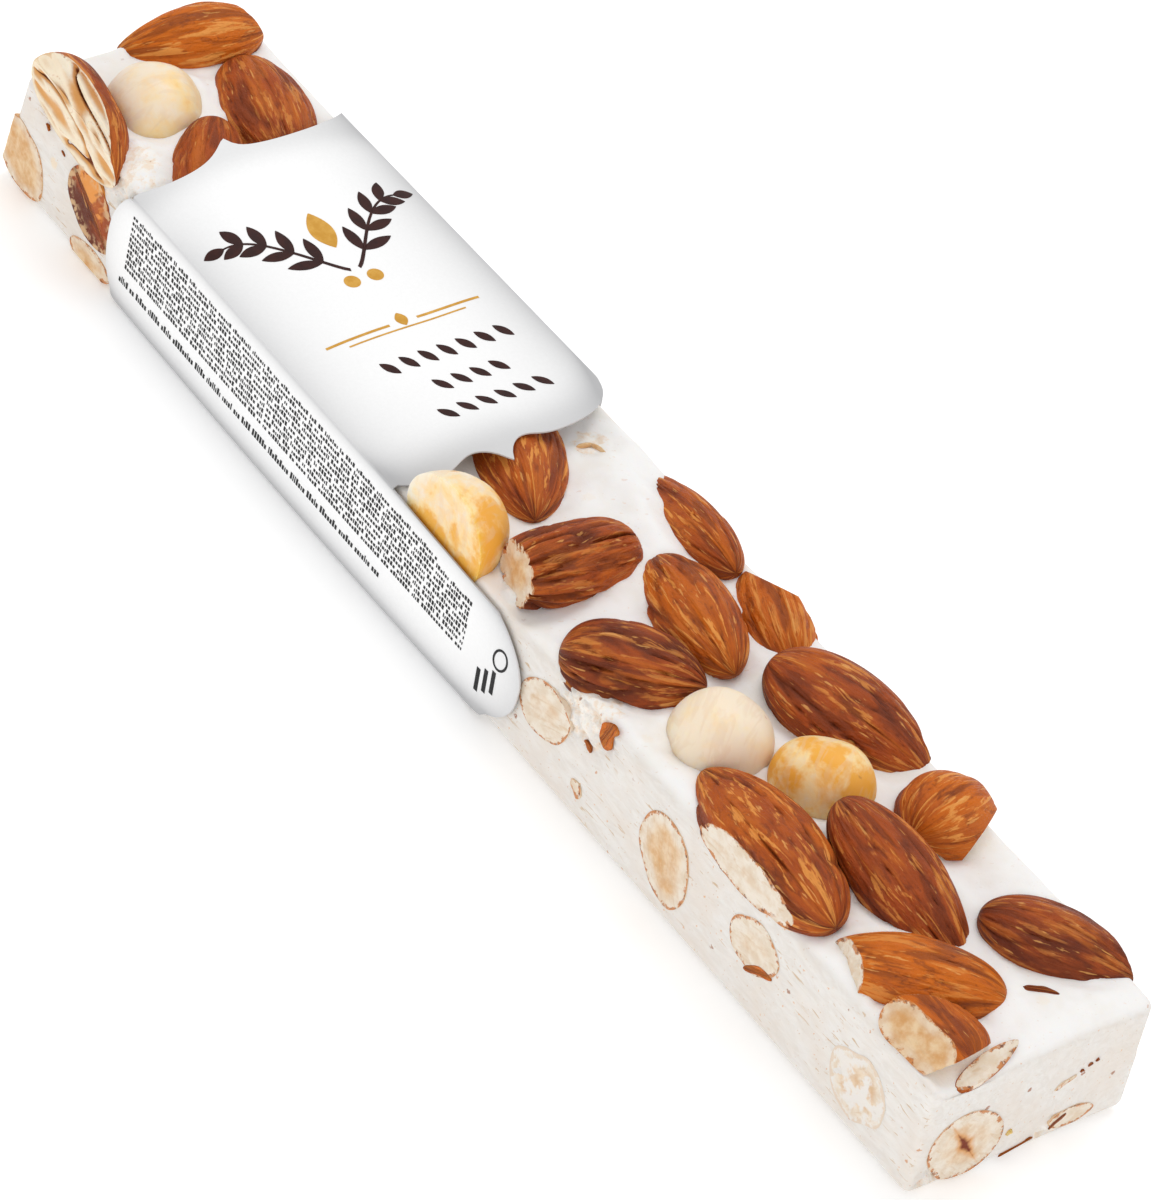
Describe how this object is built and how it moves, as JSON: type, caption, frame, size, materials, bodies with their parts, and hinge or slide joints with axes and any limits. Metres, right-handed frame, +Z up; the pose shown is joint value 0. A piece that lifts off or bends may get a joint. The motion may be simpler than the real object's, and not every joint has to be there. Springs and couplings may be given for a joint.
{
  "type": "nougat bar",
  "caption": "Bar of soft white nougat, square-cut, with whole and cut almonds and hazelnuts standing out of its top, in a plain paper band.",
  "frame": {"origin": "under the middle of the bar, on the surface that it lies on", "axes": "+X along the bar to the end that is bare of the band for longer, +Y across it, +Z up through the face with the nuts"},
  "size_m": [0.181, 0.032, 0.0241],
  "materials": {
    "nougat": "soft matt, slightly sticky",
    "almond_skin": "dry wrinkled skin with a faint oily sheen",
    "nut_kernel": "matt cut face",
    "hazelnut": "smooth, slightly oily",
    "paper": "coated, semi-matt"
  },
  "bodies": {
    "root": {"almond_01": "almond_skin", "almond_02": "almond_skin", "almond_03": "almond_skin", "almond_04": "almond_skin", "almond_05": "almond_skin", "almond_06": "almond_skin", "almond_07": "almond_skin", "almond_08": "almond_skin", "almond_09": "almond_skin", "almond_10": "almond_skin", "almond_11": "almond_skin", "almond_12": "almond_skin", "almond_13": "almond_skin", "almond_half_01": "almond_skin", "almond_half_02": "almond_skin", "almond_half_03": "almond_skin", "almond_half_04": "almond_skin", "almond_sliver_01": "almond_skin", "cut_almond_01": "nut_kernel", "cut_almond_02": "nut_kernel", "cut_almond_03": "nut_kernel", "cut_almond_04": "nut_kernel", "cut_almond_05": "nut_kernel", "cut_almond_06": "nut_kernel", "cut_almond_07": "nut_kernel", "cut_almond_08": "nut_kernel", "cut_almond_09": "nut_kernel", "cut_almond_10": "nut_kernel", "cut_almond_11": "nut_kernel", "cut_almond_12": "nut_kernel", "cut_almond_13": "nut_kernel", "cut_almond_14": "nut_kernel", "cut_almond_15": "nut_kernel", "cut_hazelnut_01": "nut_kernel", "cut_hazelnut_02": "nut_kernel", "cut_hazelnut_03": "nut_kernel", "cut_hazelnut_04": "nut_kernel", "hazelnut_01": "hazelnut", "hazelnut_02": "hazelnut", "hazelnut_03": "hazelnut", "hazelnut_04": "hazelnut", "nougat": "nougat", "paper_band": "paper"}
  },
  "joints": []
}
